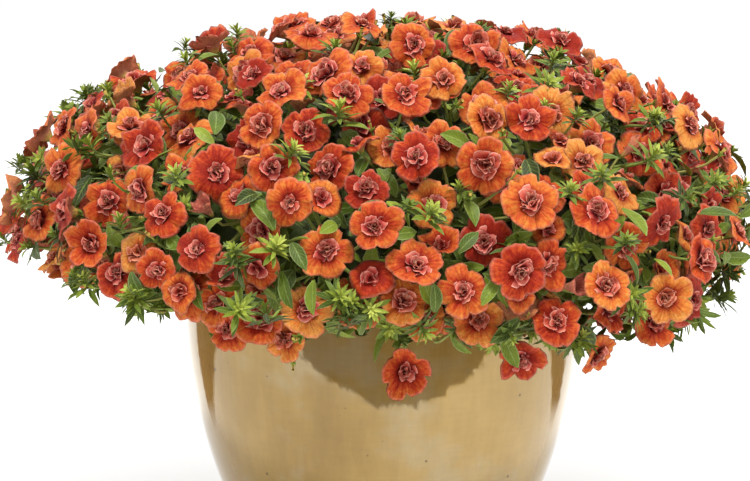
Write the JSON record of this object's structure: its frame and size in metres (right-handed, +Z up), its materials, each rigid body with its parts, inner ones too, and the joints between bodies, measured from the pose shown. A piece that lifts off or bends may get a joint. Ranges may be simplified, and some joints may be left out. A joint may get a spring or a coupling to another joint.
{
  "type": "potted flowering plant",
  "caption": "Round trailing mound of double-flowered calibrachoa with leafy shoots, growing in a glazed pot that tapers to its foot.",
  "frame": {"origin": "middle of the pot's foot, on the surface that it stands on", "axes": "+Z up the pot's axis; -Y towards the side with the lowest hanging blooms in front, +X to the right"},
  "size_m": [0.5172, 0.5189, 0.388],
  "materials": {
    "glaze": "glossy",
    "potting_mix": "rough, moist",
    "leaf": "matte, slightly downy",
    "petal": "velvety matte"
  },
  "bodies": {
    "root": {"pot": "glaze", "potting_mix": "potting_mix", "foliage": "leaf", "bloom_spray_01": "petal", "bloom_spray_02": "petal", "bloom_spray_03": "petal", "bloom_spray_04": "petal", "bloom_spray_05": "petal", "bloom_spray_06": "petal", "bloom_spray_07": "petal", "bloom_spray_08": "petal", "bloom_spray_09": "petal", "bloom_spray_10": "petal", "bloom_spray_11": "petal", "bloom_spray_12": "petal", "bloom_spray_13": "petal", "bloom_spray_14": "petal", "bloom_spray_15": "petal", "bloom_spray_16": "petal", "bloom_spray_17": "petal", "bloom_spray_18": "petal", "bloom_spray_19": "petal", "bloom_spray_20": "petal", "bloom_spray_21": "petal", "bloom_spray_22": "petal", "bloom_spray_23": "petal", "bloom_spray_24": "petal", "bloom_spray_25": "petal", "bloom_spray_26": "petal", "bloom_spray_27": "petal", "bloom_spray_28": "petal", "bloom_spray_29": "petal", "bloom_spray_30": "petal", "bloom_spray_31": "petal", "bloom_spray_32": "petal", "bloom_spray_33": "petal", "bloom_spray_34": "petal", "bloom_spray_35": "petal", "bloom_spray_36": "petal", "bloom_spray_37": "petal", "bloom_spray_38": "petal", "bloom_spray_39": "petal", "bloom_spray_40": "petal", "bloom_spray_41": "petal", "bloom_spray_42": "petal", "bloom_spray_43": "petal", "bloom_spray_44": "petal", "bloom_spray_45": "petal", "bloom_spray_46": "petal", "bloom_spray_47": "petal", "bloom_spray_48": "petal", "bloom_spray_49": "petal", "bloom_spray_50": "petal", "bloom_spray_51": "petal", "bloom_spray_52": "petal", "bloom_spray_53": "petal", "bloom_spray_54": "petal", "bloom_spray_55": "petal", "bloom_spray_56": "petal", "bloom_spray_57": "petal"}
  },
  "joints": []
}
